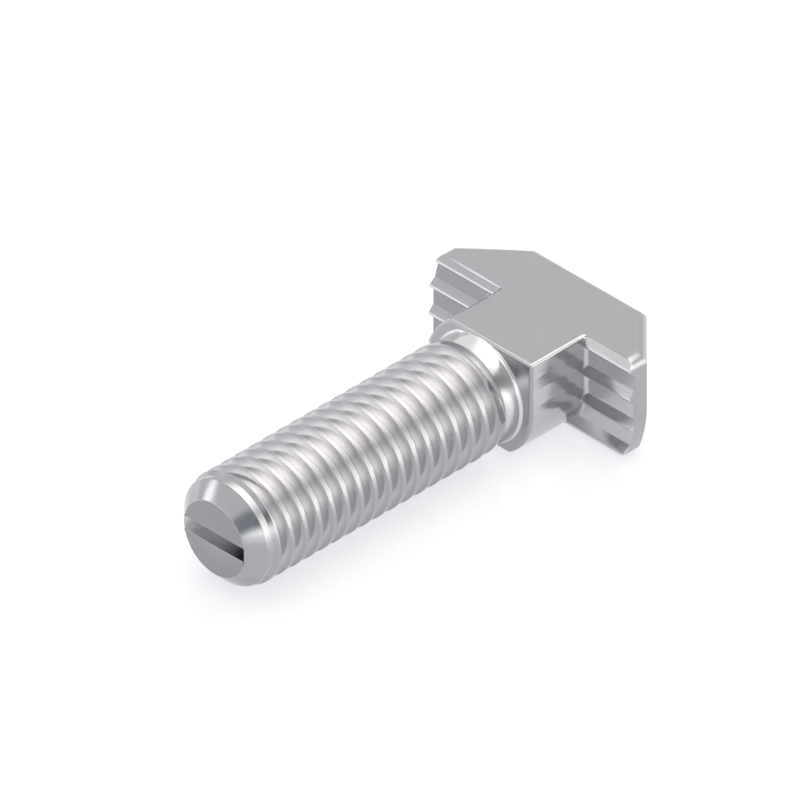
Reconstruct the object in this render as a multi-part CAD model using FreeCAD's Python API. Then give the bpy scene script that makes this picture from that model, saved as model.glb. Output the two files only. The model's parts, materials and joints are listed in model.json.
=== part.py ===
import FreeCAD, Part
import math
import os

from FreeCAD import Vector

# A T slot bolt, forged and rolled in one piece. It lies on its side: +Y runs along
# the bolt from the slotted tip to the head, +X along the head's two wings, and +Z up
# through the head's narrow side. The origin is where the bolt's axis crosses the
# crests of the teeth under the head, the plane that bears on the slot's lips.
# All sizes are in millimetres.

# Thread, M8 x 1.25, right-handed
thread_diameter = 8.0
thread_pitch = 1.25
thread_crest_flat = 0.30
flank_angle = 30.0
thread_phase = 168.0

# Shank
shank_length = 23.85
tip_flat_radius = 2.71
tip_land_radius = 3.78
tip_land_length = 0.50
lead_in_length = 0.28
collar_radius = 3.80
collar_length = 1.35
run_out_length = 0.90
collar_flare = 0.22

# Driver slot, sunk into the tip by a round cutter
slot_width = 0.98
slot_depth = 1.70

# Neck
neck_width = 9.40
neck_length = 4.45
neck_edge_chamfer = 0.18
wing_root_fillet = 0.30

# Head
head_length = 18.14
head_thickness = 7.80
head_depth = 5.15
wing_end_depth = 1.60
head_edge_radius = 0.75

# Teeth under the wings
tooth_pitch = 2.20
tooth_width = 1.10
tooth_height = 0.50
teeth_per_wing = 4

# Worked out from the sizes above
thread_radius = thread_diameter / 2
flank_slope = math.tan(math.radians(flank_angle))
thread_depth = (thread_pitch - thread_crest_flat) / 2 / flank_slope
root_radius = thread_radius - thread_depth
half_thickness = head_thickness / 2
neck_front = -neck_length
tip = neck_front - shank_length
chamfer_end = tip + tip_land_radius - tip_flat_radius
land_end = chamfer_end + tip_land_length
thread_start = land_end + lead_in_length
collar_start = neck_front - collar_length
run_out_start = collar_start - run_out_length
neck_root = head_depth / 2
wing_end = head_length / 2
back_half_width = wing_end - (head_depth - wing_end_depth)
axis = Vector(0, 1, 0)
origin = Vector(0, 0, 0)
tolerance = 0.001


def at(radius, along):
    """A point in the half plane through the axis and +X."""
    return Vector(radius, along, 0)


def closed_face(edges):
    """The flat face inside a chain of edges."""
    return Part.Face(Part.Wire(edges))


def outline(points):
    """The straight edges of a closed outline."""
    return Part.makePolygon(points + [points[0]]).Edges


def quarter_turned(face):
    """The head's relieved corner: the profile turned about the axis, from +X down to -Z."""
    return face.revolve(origin, axis, 90)


def one_way_solid(face):
    """A solid of the half profile, square in two opposite corners and turned in the other
    two, so that it can turn one way in the slot and stops square to it."""
    square = face.extrude(Vector(0, 0, half_thickness))
    slab = Part.makeBox(head_length, 2 * head_length, half_thickness,
                        Vector(0, -head_length, -half_thickness))
    turned = quarter_turned(face).common(slab)
    half = square.fuse(turned)
    other = half.copy()
    other.rotate(origin, axis, 180)
    return half.fuse(other).removeSplitter()


def on_plane(edge, letter, place):
    """True where an edge lies in the plane across one of the three directions."""
    box = edge.BoundBox
    low, high = getattr(box, letter + "Min"), getattr(box, letter + "Max")
    return abs(low - place) < tolerance and abs(high - place) < tolerance


def on_sides(edge):
    """True where an edge lies in one of the head's two flat sides."""
    return on_plane(edge, "Z", half_thickness) or on_plane(edge, "Z", -half_thickness)


def shank():
    """The turned blank of the shank, sunk into the neck."""
    points = [
        at(collar_radius, neck_root),
        at(0, neck_root),
        at(0, tip),
        at(tip_flat_radius, tip),
        at(tip_land_radius, chamfer_end),
        at(tip_land_radius, land_end),
        at(thread_radius, thread_start),
        at(thread_radius, run_out_start),
        at(collar_radius, collar_start),
    ]
    return closed_face(outline(points)).revolve(origin, axis, 360)


def helix(radius, start, length):
    """One corner of the thread's groove, as a right-handed helix about the axis."""
    coil = Part.makeLongHelix(thread_pitch, length, radius, 0)
    coil.rotate(origin, Vector(0, 0, 1), thread_phase)
    coil.rotate(origin, Vector(1, 0, 0), -90)
    coil.translate(Vector(0, start, 0))
    return coil.Edges


def thread_groove():
    """The groove between the thread's crests, as ruled faces between three helices."""
    above = thread_crest_flat / 4
    start = thread_start - thread_pitch
    length = collar_start + thread_pitch - start
    half_top = (thread_depth + above) * flank_slope
    corners = [
        (root_radius, 0),
        (thread_radius + above, half_top),
        (thread_radius + above, -half_top),
    ]
    coils = [helix(radius, start + offset, length) for radius, offset in corners]
    faces = []
    for near, far in zip(coils, coils[1:] + coils[:1]):
        for first, second in zip(near, far):
            faces.append(Part.makeRuledSurface(first, second))
    for ends in ([c[0].valueAt(c[0].FirstParameter) for c in coils],
                 [c[-1].valueAt(c[-1].LastParameter) for c in coils]):
        faces.append(closed_face(outline(ends)))
    shell = Part.Shell(faces)
    shell.sewShape()
    groove = Part.Solid(shell)
    if groove.Volume < 0:
        groove.reverse()
    threaded_length = Part.makeCylinder(thread_diameter, collar_start - thread_start,
                                        Vector(0, thread_start, 0), axis)
    return groove.common(threaded_length)


def driver_slot():
    """The slot in the tip, round-bottomed, ending at the rim of the tip's flat."""
    half_chord = math.sqrt(tip_flat_radius ** 2 - (slot_width / 2) ** 2)
    cutter_radius = (half_chord ** 2 + slot_depth ** 2) / (2 * slot_depth)
    centre = Vector(0, tip + slot_depth - cutter_radius, -slot_width / 2)
    return Part.makeCylinder(cutter_radius, slot_width, centre)


def neck():
    """The block between shank and head, with its front and long edges chamfered."""
    profile = closed_face(outline([
        at(0, neck_front),
        at(neck_width / 2, neck_front),
        at(neck_width / 2, neck_root),
        at(0, neck_root),
    ]))
    block = one_way_solid(profile)
    edges = [e for e in block.Edges
             if on_plane(e, "Y", neck_front) or on_sides(e) and not on_plane(e, "Y", neck_root)]
    return block.makeChamfer(neck_edge_chamfer, edges)


def collar_root():
    """The flare round the collar's foot, as far as the neck's flat front reaches."""
    ring = closed_face(outline([
        at(collar_radius, neck_front - collar_flare),
        at(collar_radius + collar_flare, neck_front),
        at(collar_radius, neck_front),
    ])).revolve(origin, axis, 360)
    front_height = half_thickness - neck_edge_chamfer
    front = Part.makeBox(2 * neck_width, neck_length, 2 * front_height,
                         Vector(-neck_width, neck_front - neck_length, -front_height))
    return ring.common(front)


def wing_root():
    """The fillet between the neck's sides and the flats between the teeth."""
    side = neck_width / 2
    start = at(side, tooth_height - wing_root_fillet)
    end = at(side + wing_root_fillet, tooth_height)
    bend = (1 - math.sqrt(0.5)) * wing_root_fillet
    middle = at(side + bend, tooth_height - bend)
    edges = Part.makePolygon([end, at(side + wing_root_fillet, wing_end_depth), at(0, wing_end_depth),
                              at(0, tooth_height - wing_root_fillet), start]).Edges
    edges.append(Part.Arc(start, middle, end).toShape())
    return one_way_solid(closed_face(edges))


def head_block():
    """The head from the crests of its teeth to its back, with its long edges rounded."""
    profile = closed_face(outline([
        at(0, 0),
        at(wing_end, 0),
        at(wing_end, wing_end_depth),
        at(back_half_width, head_depth),
        at(0, head_depth),
    ]))
    block = one_way_solid(profile)
    edges = [e for e in block.Edges if on_sides(e) and not on_plane(e, "Y", 0)]
    return block.makeFillet(head_edge_radius, edges)


def teeth():
    """Ridges along the wings, as bars of triangular section rooted in the head."""
    bars = []
    for number in range(teeth_per_wing):
        height = (number - (teeth_per_wing - 1) / 2) * tooth_pitch
        section = outline([
            Vector(-head_length, 0, height),
            Vector(-head_length, tooth_height, height + tooth_width / 2),
            Vector(-head_length, wing_end_depth, height + tooth_width / 2),
            Vector(-head_length, wing_end_depth, height - tooth_width / 2),
            Vector(-head_length, tooth_height, height - tooth_width / 2),
        ])
        bars.append(closed_face(section).extrude(Vector(2 * head_length, 0, 0)))
    return bars


def head():
    """The hammer head with its toothed underside."""
    block = head_block()
    behind_teeth = Part.makeBox(2 * head_length, head_depth, head_thickness,
                                Vector(-head_length, tooth_height, -half_thickness))
    body = block.common(behind_teeth)
    return body.multiFuse([block.common(bar) for bar in teeth()])


def t_slot_bolt():
    """The whole bolt as one solid."""
    threaded = shank().cut(thread_groove()).cut(driver_slot())
    return threaded.multiFuse([collar_root(), neck(), wing_root(), head()]).removeSplitter()


os.makedirs("parts", exist_ok=True)
bolt = t_slot_bolt().Solids[0]
bolt.exportStep("parts/t_slot_bolt.step")
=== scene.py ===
import json
import math

import bmesh
import bpy
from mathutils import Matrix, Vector


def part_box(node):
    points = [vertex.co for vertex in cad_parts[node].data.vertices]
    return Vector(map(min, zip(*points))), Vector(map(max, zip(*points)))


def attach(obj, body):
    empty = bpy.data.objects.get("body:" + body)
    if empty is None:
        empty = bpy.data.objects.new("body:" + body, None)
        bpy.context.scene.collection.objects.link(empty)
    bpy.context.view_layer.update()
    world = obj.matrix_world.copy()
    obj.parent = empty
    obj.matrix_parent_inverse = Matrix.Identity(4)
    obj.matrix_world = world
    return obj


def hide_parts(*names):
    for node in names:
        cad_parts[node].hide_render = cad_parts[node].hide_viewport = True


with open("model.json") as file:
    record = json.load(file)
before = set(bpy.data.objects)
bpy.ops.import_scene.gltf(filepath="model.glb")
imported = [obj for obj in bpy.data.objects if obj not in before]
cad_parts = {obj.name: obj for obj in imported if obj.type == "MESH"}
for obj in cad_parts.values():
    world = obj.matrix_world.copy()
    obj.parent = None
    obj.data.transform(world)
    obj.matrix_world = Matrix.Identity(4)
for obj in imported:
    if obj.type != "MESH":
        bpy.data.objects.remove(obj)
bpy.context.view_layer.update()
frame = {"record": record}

# The bolt is modelled in millimetres and brought to metres when it is whole. Its axis is Y,
# its tip is towards -Y, and the crests of the teeth under its head lie at y = 0.
METRE = 0.001
node_low, node_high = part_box("t_slot_bolt")
mounts = {mount["name"]: mount for mount in frame["record"]["mounts"]}

# Thread
THREAD_RADIUS = mounts["thread"]["dims"]["r_mm"]
THREAD_LENGTH = mounts["thread"]["dims"]["length_mm"]
PITCH = 1.25
CREST_FLAT = 0.30
FLANK_ANGLE = 30
THREAD_PHASE = math.radians(168.0)
ROOT_ROUND = 0.12
ROOT_RADIUS = 3.30

# Shank
TIP = node_low.y / METRE
COLLAR_RADIUS = mounts["collar"]["dims"]["r_mm"]
COLLAR_LENGTH = 1.35
COLLAR_FILLET = 0.22
NECK_FRONT = -4.45
COLLAR_START = NECK_FRONT - COLLAR_LENGTH
THREAD_START = COLLAR_START - THREAD_LENGTH
RUN_OUT_LENGTH = 0.90
TIP_FLAT_RADIUS = 2.71
TIP_LAND_RADIUS = 3.78
TIP_LAND_LENGTH = 0.50
CHAMFER_ANGLE = 45
CHAMFER_END = TIP + TIP_LAND_RADIUS - TIP_FLAT_RADIUS
RIM_ROUND = 0.12
SUNK_IN_NECK = 1.0

# End of the thread's groove: the length over which it rises, and how far past the collar's radius
GROOVE_EASE = 0.30
GROOVE_OVER = 0.15

# Flare of the collar, eased where its points lie steeply above or below the axis
FLARE_CLEAR = 0.1
FLARE_STEEP = 0.90
FLARE_FADE = 0.10
FLARE_DRAWN = 0.8
FLARE_BACK = 0.12

# Driver slot
SLOT_WIDTH = 0.98
SLOT_DEPTH = 1.70
SLOT_RIM = 0.05

# Head and neck
HALF_THICKNESS = 3.90
NECK_HALF = mounts["neck_side"]["pos_m"][0] / METRE
NECK_ROUND = 0.22
WING_ROOT = 0.30
WING_END = node_high.x / METRE
WING_END_DEPTH = 1.60
HEAD_DEPTH = node_high.y / METRE
HEAD_ROUND = 0.75
CHAMFER_REACH = WING_END + WING_END_DEPTH

# Teeth
TOOTH_PITCH = 2.20
TOOTH_HALF_WIDTH = 0.55
TOOTH_HEIGHT = 0.50
TOOTH_ROUND = 0.035
TEETH = 4
TOOTH_CENTRES = [(number - (TEETH - 1) / 2) * TOOTH_PITCH for number in range(TEETH)]

# Steps that curves are drawn in
TURN_STEPS = 96
SLOT_STEPS = 144
RIM_STEPS = 3
FLARE_STEPS = 6
GROOVE_ROOT_STEPS = 4
CHAMFER_STEPS = 12
NECK_STEPS = 6
ROOT_STEPS = 6
HEAD_ROUND_STEPS = 12
NECK_ROUND_STEPS = 6

# Search for the ends of the turned chamfer, from before the teeth to a little past the head
SEARCH_START = -1
SEARCH_PAST = 0.5
HALVINGS = 40

# Layers of the head: away from each tooth's crest, evenly apart, and the least between two
TOOTH_LEVELS = (0, 0.015, 0.03, 0.05, 0.09, 0.2, 0.35, TOOTH_HALF_WIDTH)
PLAIN_LEVELS = [step * 0.2 for step in range(1, 16)]
LEAST_LEVEL = 0.004

# How near counts as the same place
ON_AXIS = 1e-6
MERGED = 1e-5
NEAR = 1e-4

SMOOTH_ANGLE = math.radians(28)


def in_edit(work):
    """Runs one piece of work on the active mesh in edit mode."""
    bpy.ops.object.mode_set(mode="EDIT")
    work()
    bpy.ops.object.mode_set(mode="OBJECT")


def only(piece):
    """Makes one object the selected and active one."""
    bpy.ops.object.select_all(action="DESELECT")
    piece.select_set(True)
    bpy.context.view_layer.objects.active = piece


def outline_piece(name, points, fill="NOTHING"):
    """A closed outline from a circle with its corners moved, in the plane z = 0."""
    bpy.ops.object.select_all(action="DESELECT")
    bpy.ops.mesh.primitive_circle_add(vertices=len(points), radius=1, fill_type=fill)
    piece = bpy.context.object
    piece.name = name
    for corner, (across, along) in zip(piece.data.vertices, points):
        corner.co = (across, along, 0)
    return piece


def cut(piece, tool, operation):
    """Joins a tool to a piece, or takes it away, with an exact boolean."""
    only(piece)
    step = piece.modifiers.new(operation.lower(), "BOOLEAN")
    step.operation = operation
    step.solver = "EXACT"
    step.object = tool
    bpy.ops.object.modifier_apply(modifier=step.name)
    bpy.data.objects.remove(tool, do_unlink=True)


def arc(centre, radius, start, end, steps):
    """Points along an arc, its angles in degrees."""
    points = []
    for step in range(steps + 1):
        angle = math.radians(start + (end - start) * step / steps)
        points.append((centre[0] + radius * math.cos(angle), centre[1] + radius * math.sin(angle)))
    return points


def turned_piece(name, profile, steps):
    """A solid turned about the Y axis from a profile that starts and ends on the axis."""
    piece = outline_piece(name, profile)

    def spin():
        mesh = bmesh.from_edit_mesh(piece.data)
        mesh.edges.ensure_lookup_table()
        on_axis = [edge for edge in mesh.edges
                   if all(abs(corner.co.x) < ON_AXIS for corner in edge.verts)]
        bmesh.ops.delete(mesh, geom=on_axis, context="EDGES")
        bmesh.update_edit_mesh(piece.data)
        bpy.ops.mesh.select_all(action="SELECT")
        bpy.ops.mesh.spin(steps=steps, angle=2 * math.pi, center=(0, 0, 0), axis=(0, 1, 0))
        bpy.ops.mesh.select_all(action="SELECT")
        bpy.ops.mesh.remove_doubles(threshold=MERGED)
        bpy.ops.mesh.normals_make_consistent(inside=False)

    in_edit(spin)
    return piece


def shank_blank():
    """The turned blank of the shank, with the fillet that flares into the neck's front."""
    flare_centre = (COLLAR_RADIUS + COLLAR_FILLET, NECK_FRONT - COLLAR_FILLET)
    rim = RIM_ROUND * math.tan(math.radians(CHAMFER_ANGLE / 2))
    flat_rim = (TIP_FLAT_RADIUS - rim, TIP + RIM_ROUND)
    land_rim = (TIP_LAND_RADIUS - RIM_ROUND, CHAMFER_END + rim)
    profile = [(0, TIP)]
    profile += arc(flat_rim, RIM_ROUND, 270, 270 + CHAMFER_ANGLE, RIM_STEPS)
    profile += arc(land_rim, RIM_ROUND, 270 + CHAMFER_ANGLE, 360, RIM_STEPS)
    profile += [(TIP_LAND_RADIUS, CHAMFER_END + TIP_LAND_LENGTH), (THREAD_RADIUS, THREAD_START),
                (THREAD_RADIUS, COLLAR_START - RUN_OUT_LENGTH), (COLLAR_RADIUS, COLLAR_START)]
    profile += arc(flare_centre, COLLAR_FILLET, 180, 90, FLARE_STEPS)
    profile += [(COLLAR_RADIUS - COLLAR_FILLET, NECK_FRONT + SUNK_IN_NECK), (0, NECK_FRONT + SUNK_IN_NECK)]
    blank = turned_piece("shank", profile, TURN_STEPS)
    ease_flare(blank)
    return blank


def ease_flare(blank):
    """Draws the flare in and back where the neck's rounded long edges run close over the collar."""
    for corner in blank.data.vertices:
        radius = math.hypot(corner.co.x, corner.co.z)
        if radius <= COLLAR_RADIUS + NEAR or corner.co.y < COLLAR_START + FLARE_CLEAR:
            continue
        steep = abs(corner.co.z) / radius
        share = 1 - FLARE_DRAWN * max(0.0, min(1.0, (steep - FLARE_STEEP) / FLARE_FADE))
        eased = COLLAR_RADIUS + (radius - COLLAR_RADIUS) * share
        corner.co.x *= eased / radius
        corner.co.z *= eased / radius
        corner.co.y += (1 - share) * FLARE_BACK


def groove_profile():
    """The groove's section, (radius, along the axis), round at the root."""
    half_top = (PITCH - CREST_FLAT) / 2
    slope = math.tan(math.radians(FLANK_ANGLE))
    apex = THREAD_RADIUS - half_top / slope
    root_centre = (apex + ROOT_ROUND / math.sin(math.radians(FLANK_ANGLE)), 0)
    side = arc(root_centre, ROOT_ROUND, 180, 90 + FLANK_ANGLE, GROOVE_ROOT_STEPS)
    above = CREST_FLAT / 4
    side.append((THREAD_RADIUS + above, half_top + above * slope))
    return [(radius, -along) for radius, along in reversed(side[1:])] + side


def groove_tool():
    """The coil that the groove is cut with, ended by two planes and rising out at the collar."""
    start = THREAD_START - PITCH
    tool = outline_piece("groove", [(radius, start + along) for radius, along in groove_profile()])
    coil = tool.modifiers.new("coil", "SCREW")
    coil.axis = "Y"
    coil.angle = 2 * math.pi
    coil.screw_offset = PITCH
    coil.iterations = math.ceil((COLLAR_START + PITCH - start) / PITCH)
    coil.steps = coil.render_steps = TURN_STEPS
    only(tool)
    bpy.ops.object.modifier_apply(modifier=coil.name)

    def rise_out():
        mesh = bmesh.from_edit_mesh(tool.data)
        for corner in mesh.verts:
            radius = math.hypot(corner.co.x, corner.co.z)
            part = 1 - (COLLAR_START - corner.co.y) / GROOVE_EASE
            if part > 0:
                rise = 1 + part * (COLLAR_RADIUS + GROOVE_OVER - ROOT_RADIUS) / radius
                corner.co.x *= rise
                corner.co.z *= rise
        bmesh.update_edit_mesh(tool.data)

    def place():
        bpy.ops.mesh.select_all(action="SELECT")
        bpy.ops.transform.rotate(value=-THREAD_PHASE, orient_axis="Y", orient_type="GLOBAL",
                                 center_override=(0, 0, 0))
        bpy.ops.mesh.select_all(action="SELECT")
        bpy.ops.mesh.bisect(plane_co=(0, THREAD_START, 0), plane_no=(0, 1, 0),
                            use_fill=True, clear_inner=True)
        bpy.ops.mesh.select_all(action="SELECT")
        bpy.ops.mesh.bisect(plane_co=(0, COLLAR_START, 0), plane_no=(0, 1, 0),
                            use_fill=True, clear_outer=True)
        rise_out()
        bpy.ops.mesh.select_all(action="SELECT")
        bpy.ops.mesh.normals_make_consistent(inside=False)

    in_edit(place)
    return tool


def slot_tool():
    """The round cutter of the driver slot."""
    half_chord = math.sqrt(TIP_FLAT_RADIUS ** 2 - (SLOT_WIDTH / 2) ** 2)
    radius = (half_chord ** 2 + SLOT_DEPTH ** 2) / (2 * SLOT_DEPTH)
    bpy.ops.object.select_all(action="DESELECT")
    bpy.ops.mesh.primitive_cylinder_add(vertices=SLOT_STEPS, radius=radius, depth=SLOT_WIDTH,
                                        location=(0, TIP + SLOT_DEPTH - radius, 0))
    tool = bpy.context.object
    bpy.ops.object.transform_apply(location=True, rotation=True, scale=True)
    return tool


def inset(reach, size):
    """How far a rounding at the flat side has drawn in at a height."""
    above = reach - (HALF_THICKNESS - size)
    return 0.0 if above <= 0 else size - math.sqrt(max(0.0, size ** 2 - above ** 2))


def tooth_line(height):
    """How far behind the crests' plane the wing's underside lies at a height."""
    nearest = min(abs(height - centre) for centre in TOOTH_CENTRES)
    slope = TOOTH_HEIGHT / TOOTH_HALF_WIDTH
    return min(TOOTH_HEIGHT, slope * math.hypot(nearest, TOOTH_ROUND))


def round_wall(radius, size, height):
    """Half width of a turned wall at a height, with the rounding at the flat side."""
    centre_height = HALF_THICKNESS - size
    contact = centre_height * radius / (radius - size)
    if height <= contact:
        return math.sqrt(radius ** 2 - height ** 2)
    centre = math.sqrt((radius - size) ** 2 - centre_height ** 2)
    return centre + math.sqrt(max(0.0, size ** 2 - (height - centre_height) ** 2))


def cone_point(station, height):
    """A point of the turned chamfer at a height, or of its rounding at the flat side."""
    flat = HALF_THICKNESS - HEAD_ROUND
    above = height - flat
    reach = CHAMFER_REACH - station - math.sqrt(2) * HEAD_ROUND
    if above / HEAD_ROUND < flat / (reach * math.sqrt(2)):
        along = station + HEAD_ROUND / math.sqrt(2)
        return math.sqrt((CHAMFER_REACH - along) ** 2 - height ** 2), along
    centre = math.sqrt(reach ** 2 - flat ** 2)
    slope = -reach / centre
    length = math.hypot(1, slope)
    size = math.sqrt(max(0.0, HEAD_ROUND ** 2 - above ** 2))
    return centre + size / length, station - size * slope / length


def crossing(rule, low, high):
    """The place between two where a falling rule passes through zero."""
    for _ in range(HALVINGS):
        middle = (low + high) / 2
        low, high = (middle, high) if rule(middle) > 0 else (low, middle)
    return (low + high) / 2


def chamfer_points(reach, turned, end, back):
    """The chamfer from the wing's end to the back, square or turned about the axis."""
    steps = range(CHAMFER_STEPS + 1)
    if turned:
        first = crossing(lambda station: cone_point(station, reach)[0] - end, SEARCH_START, HEAD_DEPTH)
        last = crossing(lambda station: back - cone_point(station, reach)[1],
                        SEARCH_START, HEAD_DEPTH + SEARCH_PAST)
        return [cone_point(first + (last - first) * step / CHAMFER_STEPS, reach) for step in steps]
    edge = CHAMFER_REACH - math.sqrt(2) * inset(reach, HEAD_ROUND)
    first, last = (end, edge - end), (edge - back, back)
    return [(first[0] + (last[0] - first[0]) * step / CHAMFER_STEPS,
             first[1] + (last[1] - first[1]) * step / CHAMFER_STEPS) for step in steps]


def neck_front_points(reach, turned, wall):
    """The rounding from the neck's front to its side at a height."""
    drawn = inset(reach, NECK_ROUND)
    corner = NECK_ROUND - drawn
    points = []
    for step in range(NECK_STEPS + 1):
        angle = math.radians(90 * (1 - step / NECK_STEPS))
        if turned and reach < HALF_THICKNESS - NECK_ROUND:
            radius = NECK_HALF - NECK_ROUND * (1 - math.cos(angle))
            across = min(wall, math.sqrt(max(0.0, radius ** 2 - reach ** 2)))
        else:
            across = wall - corner * (1 - math.cos(angle))
        points.append((across, NECK_FRONT + drawn + corner * (1 - math.sin(angle))))
    return points


def wing_root_points(reach, turned, wall, line):
    """The fillet from the neck's side to the wing's underside at a height."""
    foot = TOOTH_HEIGHT - WING_ROOT
    bend = math.asin(min(1.0, max(0.0, line - foot) / WING_ROOT))
    points = []
    for step in range(ROOT_STEPS + 1):
        angle = bend * step / ROOT_STEPS
        out = WING_ROOT * (1 - math.cos(angle))
        if turned:
            out = math.sqrt((math.hypot(wall, reach) + out) ** 2 - reach ** 2) - wall
        points.append((wall + out, min(line, foot) + WING_ROOT * math.sin(angle)))
    return points


def half_outline(height, turned):
    """One half of the head and neck at a height, from the neck's front to the head's back."""
    reach = abs(height)
    line = tooth_line(height)
    back = HEAD_DEPTH - inset(reach, HEAD_ROUND)
    if turned:
        wall = round_wall(NECK_HALF, NECK_ROUND, reach)
        end = round_wall(WING_END, HEAD_ROUND, reach)
    else:
        wall = NECK_HALF - inset(reach, NECK_ROUND)
        end = WING_END - inset(reach, HEAD_ROUND)
    points = neck_front_points(reach, turned, wall) + wing_root_points(reach, turned, wall, line)
    return points + [(end, line)] + chamfer_points(reach, turned, end, back)


def head_outline(height):
    """The whole outline at a height: square on one side, turned on the other."""
    right = half_outline(height, turned=height < 0)
    left = half_outline(-height, turned=height > 0)
    return right + [(-across, along) for across, along in reversed(left)]


def head_heights():
    """The heights of the head's layers, close together where its form bends."""
    heights = {0.0, HALF_THICKNESS, -HALF_THICKNESS}
    for size, steps in ((HEAD_ROUND, HEAD_ROUND_STEPS), (NECK_ROUND, NECK_ROUND_STEPS)):
        for step in range(steps + 1):
            height = HALF_THICKNESS - size + size * math.sin(math.radians(90 * step / steps))
            heights.update((height, -height))
    for centre in TOOTH_CENTRES:
        for away in TOOTH_LEVELS:
            heights.update((centre + away, centre - away))
    for height in PLAIN_LEVELS:
        heights.update((height, -height))
    kept = []
    for height in sorted(heights):
        if abs(height) <= HALF_THICKNESS and (not kept or height - kept[-1] > LEAST_LEVEL):
            kept.append(height)
    kept[-1] = HALF_THICKNESS
    return kept


def in_order(corners, points):
    """The corners of a layer, in the order of the points that they lie at."""
    places = [corner.co.xy for corner in corners]
    first = min(range(len(corners)), key=lambda n: (places[n] - Vector(points[0])).length)
    ahead = (places[(first + 1) % len(corners)] - Vector(points[1])).length
    behind = (places[first - 1] - Vector(points[1])).length
    step = 1 if ahead <= behind else -1
    return [corners[(first + step * number) % len(corners)] for number in range(len(corners))]


def head_and_neck():
    """The hammer head with its teeth and the neck, drawn up layer by layer."""
    heights = head_heights()
    piece = outline_piece("head", head_outline(heights[0]), fill="NGON")
    for corner in piece.data.vertices:
        corner.co.z = heights[0]

    def raise_layers():
        bpy.ops.mesh.select_all(action="SELECT")
        mesh = bmesh.from_edit_mesh(piece.data)
        for below, height in zip(heights, heights[1:]):
            bpy.ops.mesh.extrude_region_move(TRANSFORM_OT_translate={"value": (0, 0, 0)})
            top = next(face for face in mesh.faces if face.select)
            corners = in_order([loop.vert for loop in top.loops], head_outline(below))
            for corner, (across, along) in zip(corners, head_outline(height)):
                corner.co = (across, along, height)
            bmesh.update_edit_mesh(piece.data)
        bpy.ops.mesh.select_all(action="SELECT")
        bpy.ops.mesh.remove_doubles(threshold=MERGED)
        bpy.ops.mesh.normals_make_consistent(inside=False)

    in_edit(raise_layers)
    return piece


def break_slot_rims(piece):
    """Takes the sharpness off the two straight rims of the driver slot."""
    def on_rim(corner):
        return abs(corner.co.y - TIP) < NEAR and abs(abs(corner.co.z) - SLOT_WIDTH / 2) < NEAR

    def bevel():
        bpy.ops.mesh.select_all(action="DESELECT")
        mesh = bmesh.from_edit_mesh(piece.data)
        for edge in mesh.edges:
            if all(on_rim(corner) for corner in edge.verts):
                edge.select = True
        bmesh.update_edit_mesh(piece.data)
        bpy.ops.mesh.bevel(offset=SLOT_RIM, segments=2)

    in_edit(bevel)


def whole_bolt():
    """The bolt in one piece, threaded, slotted and brought to metres."""
    piece = shank_blank()
    cut(piece, groove_tool(), "DIFFERENCE")
    cut(piece, slot_tool(), "DIFFERENCE")
    break_slot_rims(piece)
    cut(piece, head_and_neck(), "UNION")
    piece.name = "bolt_metal"
    only(piece)
    piece.scale = (METRE, METRE, METRE)
    bpy.ops.object.transform_apply(location=True, rotation=True, scale=True)
    bpy.ops.object.shade_smooth_by_angle(angle=SMOOTH_ANGLE)
    weights = piece.modifiers.new("weights", "WEIGHTED_NORMAL")
    weights.keep_sharp = True
    bpy.ops.object.modifier_apply(modifier=weights.name)
    return piece


bolt = whole_bolt()
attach(bolt, "root")
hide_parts("t_slot_bolt")

# Tones of the zinc: its faint clouds between two, then painted light and shade on the places that stand
# out
DULL_ZINC = (0.395, 0.40, 0.42)
CLEAR_ZINC = (0.415, 0.42, 0.438)
# Painted shade: the tip's end face is darkened
TIP_PAINTED_SHADE = (0.31, 0.317, 0.345)
# Painted light: the collar is brightened
COLLAR_PAINTED_LIGHT = (0.70, 0.703, 0.72)
# Painted light: the neck's sides and the near wing's underside are brightened
NECK_PAINTED_LIGHT = (0.55, 0.553, 0.57)
# Painted shade: the far wing's flats are darkened
FLAT_PAINTED_SHADE = (0.34, 0.345, 0.375)
# Painted light: the thread's roots are brightened
ROOT_PAINTED_LIGHT = (0.54, 0.54, 0.555)
# Painted light inside the slot, and painted shade at its near end
SLOT_PAINTED_LIGHT = (0.63, 0.635, 0.66)
SLOT_SHADE = (0.10, 0.10, 0.11)

# Where the painted light and shade lie, in spans that take in a face and leave out its neighbours
TIP_SPAN = {"Y": (TIP - 0.01, TIP + 0.01)}
COLLAR_SPAN = {"Y": (COLLAR_START + 0.005, NECK_FRONT - 0.005)}
NECK_SPAN = {"Y": (-4.24, 0.10), "Z": (NECK_ROUND - HALF_THICKNESS, HALF_THICKNESS - NECK_ROUND)}
WING_SPAN = {"X": (2.40, 9.00), "Y": (-0.05, 0.505), "Z": (-3.89, 3.89)}
FLAT_SPAN = {"X": (-9.05, -2.35), "Y": (0.496, 0.504), "Z": (-3.89, 3.89)}
ROOT_SPAN = {"Y": (THREAD_START, COLLAR_START)}
SLOT_SPAN = {"X": (-2.70, 2.70), "Y": (TIP + 0.02, TIP + 1.78), "Z": (-0.4925, 0.4925)}

# Distances from the axis between which a painted tone comes in, and along X for the slot's painted shade
COLLAR_FADE = (4.15, 4.10)
NECK_FADE = (4.45, 4.50)
ROOT_FADE = (3.92, 3.60)
SHADE_FADE = (0.2, 2.4)

# Finish of the zinc, with its clouds and grain in cells a metre
METALLIC = 0.82
ROUGHNESS = (0.14, 0.21)
NOISE_SPAN = (0.3, 0.7)
CLOUD_SCALE = 260
GRAIN_SCALE = 2600
GRAIN_STRENGTH = 0.06
GRAIN_DEPTH = 0.02
EDGE_SOFTNESS = 0.015


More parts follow.
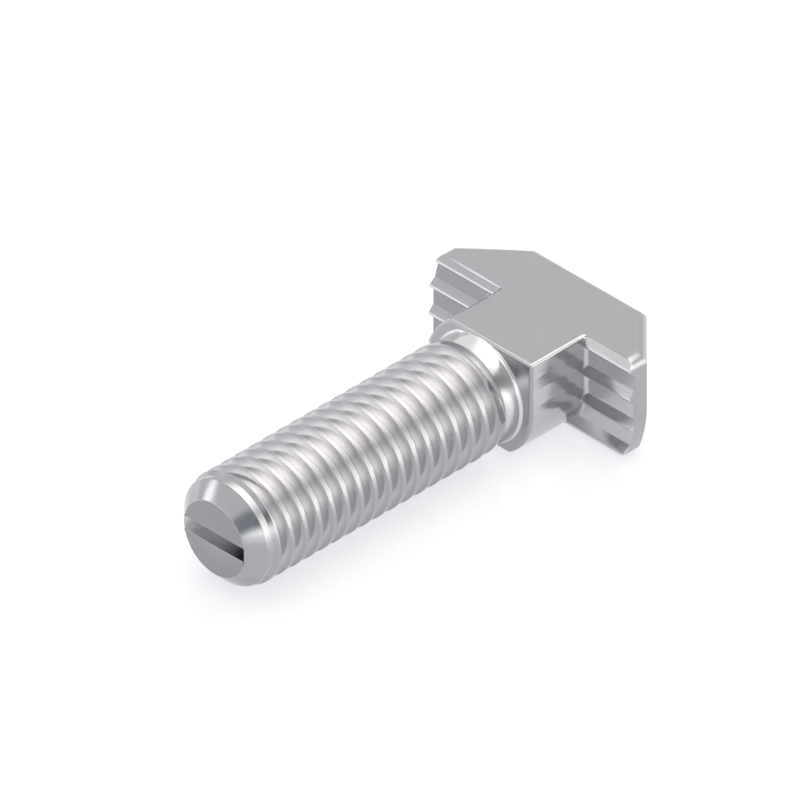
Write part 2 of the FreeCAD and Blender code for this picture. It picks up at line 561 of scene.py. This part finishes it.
def made(tree, kind, inputs, **settings):
    """A new node with its settings, its inputs each given a value or joined to an output."""
    node = tree.nodes.new(kind)
    for name, value in settings.items():
        setattr(node, name, value)
    for name, value in inputs.items():
        if isinstance(value, bpy.types.NodeSocket):
            tree.links.new(value, node.inputs[name])
        else:
            node.inputs[name].default_value = value
    return node


def number(tree, operation, *values):
    """A Math node's result."""
    return made(tree, "ShaderNodeMath", dict(enumerate(values)), operation=operation).outputs["Value"]


def times(tree, *factors):
    """The product of several masks."""
    total = factors[0]
    for factor in factors[1:]:
        total = number(tree, "MULTIPLY", total, factor)
    return total


def fade(tree, source, start, end, low=0.0, high=1.0):
    """A number that goes from low to high while its source goes from start to end."""
    inputs = {"Value": source, "From Min": start, "From Max": end, "To Min": low, "To Max": high}
    return made(tree, "ShaderNodeMapRange", inputs).outputs["Result"]


def inside(tree, split, spans):
    """1 inside a box, given by its spans along X, Y and Z in millimetres."""
    masks = []
    for name, (low, high) in spans.items():
        middle, reach = (low + high) / 2 * METRE, (high - low) / 2 * METRE
        masks.append(number(tree, "COMPARE", split.outputs[name], middle, reach))
    return times(tree, *masks)


def toned(tree, colour, mask, tone):
    """A colour with another laid over it where the mask is 1."""
    inputs = {"Factor": mask, "A": colour, "B": (*tone, 1)}
    return made(tree, "ShaderNodeMix", inputs, data_type="RGBA").outputs["Result"]


def noise(tree, spot, scale, detail):
    """A noise on the bolt's own coordinates."""
    inputs = {"Vector": spot, "Scale": scale, "Detail": detail}
    return made(tree, "ShaderNodeTexNoise", inputs).outputs["Fac"]


def painted_light_places(tree, spot):
    """The masks of the places where light or shade is painted, each with its painted tone, later ones over
    earlier ones.
    """
    split = made(tree, "ShaderNodeSeparateXYZ", {"Vector": spot})
    off_axis = made(tree, "ShaderNodeVectorMath", {0: spot, 1: (1, 0, 1)}, operation="MULTIPLY")
    radius = made(tree, "ShaderNodeVectorMath", {0: off_axis.outputs["Vector"]}, operation="LENGTH")

    def coming_in(source, ends):
        return fade(tree, source, ends[0] * METRE, ends[1] * METRE)

    def around(ends, spans):
        return times(tree, coming_in(radius.outputs["Value"], ends), inside(tree, split, spans))

    in_slot = inside(tree, split, SLOT_SPAN)
    return [
        (inside(tree, split, TIP_SPAN), TIP_PAINTED_SHADE),
        (around(COLLAR_FADE, COLLAR_SPAN), COLLAR_PAINTED_LIGHT),
        (around(NECK_FADE, NECK_SPAN), NECK_PAINTED_LIGHT),
        (inside(tree, split, WING_SPAN), NECK_PAINTED_LIGHT),
        (inside(tree, split, FLAT_SPAN), FLAT_PAINTED_SHADE),
        (around(ROOT_FADE, ROOT_SPAN), ROOT_PAINTED_LIGHT),
        (in_slot, SLOT_PAINTED_LIGHT),
        (times(tree, in_slot, coming_in(split.outputs["X"], SHADE_FADE)), SLOT_SHADE),
    ]


def bright_zinc():
    """Bright zinc plating: cool grey, satin to glossy, with the faintest clouding. Painted light makes it
    brighter in the thread's roots and the slot and on the collar, the neck's sides and the near wing's
    underside, and painted shade makes it darker on the tip, on the far wing's flats and at the slot's near
    end."""
    material = bpy.data.materials.new("bright_zinc")
    material.use_nodes = True
    tree = material.node_tree
    shader = tree.nodes["Principled BSDF"]
    spot = tree.nodes.new("ShaderNodeTexCoord").outputs["Object"]
    grain = noise(tree, spot, GRAIN_SCALE, detail=4)
    colour = toned(tree, (*DULL_ZINC, 1), noise(tree, spot, CLOUD_SCALE, detail=3), CLEAR_ZINC)
    # Painted light and shade laid over the clouded zinc
    for mask, tone in painted_light_places(tree, spot):
        colour = toned(tree, colour, mask, tone)
    edge = made(tree, "ShaderNodeBevel", {"Radius": EDGE_SOFTNESS * METRE}, samples=6)
    bump = made(tree, "ShaderNodeBump", {"Strength": GRAIN_STRENGTH, "Distance": GRAIN_DEPTH * METRE,
                                         "Height": grain, "Normal": edge.outputs["Normal"]})
    shader.inputs["Metallic"].default_value = METALLIC
    tree.links.new(colour, shader.inputs["Base Color"])
    tree.links.new(fade(tree, grain, *NOISE_SPAN, *ROUGHNESS), shader.inputs["Roughness"])
    tree.links.new(bump.outputs["Normal"], shader.inputs["Normal"])
    return material


bolt.data.materials.clear()
bolt.data.materials.append(bright_zinc())

# Floor, under the thread's lowest crests
FLOOR_HEIGHT = -THREAD_RADIUS * METRE
FLOOR_SIZE = 4
FLOOR_COLOUR = (0.40, 0.40, 0.40)
FLOOR_ROUGHNESS = 0.25
FLOOR_IOR = 1.6
FLOOR_LIFT = (0.66, 0.67, 0.69)


def seen_rays(tree):
    """1 for the rays of the camera, of gloss and of glass, and 0 for the rest."""
    path = tree.nodes.new("ShaderNodeLightPath")
    seen = path.outputs["Is Camera Ray"]
    for name in ("Is Glossy Ray", "Is Transmission Ray"):
        seen = number(tree, "MAXIMUM", seen, path.outputs[name])
    return seen


def pale_floor():
    """A plain glossy floor that reads as white where no shadow falls on it."""
    material = bpy.data.materials.new("pale_floor")
    material.use_nodes = True
    tree = material.node_tree
    tree.nodes.remove(tree.nodes["Principled BSDF"])
    plain = made(tree, "ShaderNodeBsdfDiffuse", {"Color": (*FLOOR_COLOUR, 1)})
    gloss = made(tree, "ShaderNodeBsdfGlossy", {"Roughness": FLOOR_ROUGHNESS})
    sheen = made(tree, "ShaderNodeFresnel", {"IOR": FLOOR_IOR})
    coated = made(tree, "ShaderNodeMixShader", {0: sheen.outputs["Fac"], 1: plain.outputs["BSDF"],
                                                2: gloss.outputs["BSDF"]})
    lift = made(tree, "ShaderNodeEmission", {"Color": (*FLOOR_LIFT, 1), "Strength": seen_rays(tree)})
    both = made(tree, "ShaderNodeAddShader", {0: coated.outputs["Shader"], 1: lift.outputs["Emission"]})
    tree.links.new(both.outputs["Shader"], tree.nodes["Material Output"].inputs["Surface"])
    return material


bpy.ops.object.select_all(action="DESELECT")
bpy.ops.mesh.primitive_plane_add(size=FLOOR_SIZE, location=(0, 0, FLOOR_HEIGHT))
floor = bpy.context.object
floor.name = "floor"
floor.data.materials.append(pale_floor())

# Camera, an exact isometric view without perspective
IMAGE_SIDE = 800
PIXELS_PER_METRE = 15700
LOOK_AT = Vector((0, -0.01157, 0.00249))
CAMERA_DISTANCE = 0.4
camera_data = bpy.data.cameras.new("camera")
camera = bpy.data.objects.new("camera", camera_data)
bpy.context.scene.collection.objects.link(camera)
camera_data.type = "ORTHO"
camera_data.ortho_scale = IMAGE_SIDE / PIXELS_PER_METRE
toward = Vector((1, -1, 1)).normalized()
camera.location = LOOK_AT + toward * CAMERA_DISTANCE
camera.rotation_euler = (-toward).to_track_quat("-Z", "Y").to_euler()
camera_data.clip_start = 0.01
camera_data.clip_end = 10
bpy.context.scene.camera = camera

# Light, a world of soft lights around the bolt. WARMTH is what the tip's dark place takes away.
WHITE = (1.0, 1.0, 1.0)
WARM = (1.0, 0.925, 0.84)
WARMTH = (1.0, 0.97, 0.9)
WORLD_FILL = 0.52


def heading(azimuth, elevation):
    """The direction of a place in the studio, from two angles in degrees."""
    turn, rise = math.radians(azimuth), math.radians(elevation)
    return Vector((math.cos(rise) * math.cos(turn), math.cos(rise) * math.sin(turn), math.sin(rise)))


def lean(tree, sight, direction):
    """How far the line of sight leans towards a direction."""
    return made(tree, "ShaderNodeVectorMath", {0: sight, 1: direction},
                operation="DOT_PRODUCT").outputs["Value"]


def round_light(tree, sight, azimuth, elevation, gone, full):
    """A soft round light: full inside one angle from its middle, gone outside the other."""
    angle = number(tree, "ARCCOSINE", lean(tree, sight, heading(azimuth, elevation)))
    return fade(tree, angle, math.radians(gone), math.radians(full))


def strip_light(tree, sight, azimuth, elevation, width, height, soft):
    """A soft strip along the horizon: full to half its width and height, then fading."""
    ahead, side = heading(azimuth, 0), heading(azimuth + 90, 0)
    turn = number(tree, "ARCTAN2", lean(tree, sight, side), lean(tree, sight, ahead))
    rise = number(tree, "ARCSINE", lean(tree, sight, heading(0, 90)))
    off = number(tree, "SUBTRACT", rise, math.radians(elevation))
    masks = []
    for angle, half in ((turn, width / 2), (off, height / 2)):
        bare = number(tree, "ABSOLUTE", angle)
        masks.append(fade(tree, bare, math.radians(half + soft), math.radians(half)))
    return times(tree, *masks)


def studio_lights(tree, sight):
    """The lights and dark places, each as its mask, its gain and its colour."""
    return [
        # Overhead, for the upper side of thread and collar
        (round_light(tree, sight, azimuth=95, elevation=80, gone=46, full=8), 3.5, WARM),
        # Low on the right, for the near side of thread and collar
        (round_light(tree, sight, azimuth=20, elevation=6, gone=38, full=10), 2.0, WARM),
        # A strip low before the tip, for the upper sides of the teeth
        (strip_light(tree, sight, azimuth=-126, elevation=20, width=64, height=8, soft=6), 1.0, WHITE),
        # A strip and a dark place at the camera's side, which the collar mirrors in the neck's front
        (strip_light(tree, sight, azimuth=-33, elevation=1, width=40, height=10, soft=9), 1.3, WHITE),
        (round_light(tree, sight, azimuth=-38, elevation=24, gone=15, full=7), -0.5, WHITE),
        # The streak and the dark side of the tip's chamfer
        (round_light(tree, sight, azimuth=-153, elevation=20, gone=13, full=6), 0.8, WHITE),
        (round_light(tree, sight, azimuth=-62, elevation=20, gone=21, full=13), -0.68, WARMTH),
    ]


def studio_world():
    """A white studio with soft lights, at full strength to the eye and in the metal."""
    world = bpy.data.worlds.new("studio")
    world.use_nodes = True
    tree = world.node_tree
    background = tree.nodes["Background"]
    sight = tree.nodes.new("ShaderNodeTexCoord").outputs["Generated"]
    total = WHITE
    for mask, gain, colour in studio_lights(tree, sight):
        amount = made(tree, "ShaderNodeVectorMath", {0: [gain * part for part in colour], "Scale": mask},
                      operation="SCALE")
        total = made(tree, "ShaderNodeVectorMath", {0: total, 1: amount.outputs["Vector"]},
                     operation="ADD").outputs["Vector"]
    tree.links.new(total, background.inputs["Color"])
    strength = fade(tree, seen_rays(tree), 0.0, 1.0, WORLD_FILL, 1.0)
    tree.links.new(strength, background.inputs["Strength"])
    return world


bpy.context.scene.world = studio_world()
bpy.context.scene.view_settings.view_transform = "Standard"
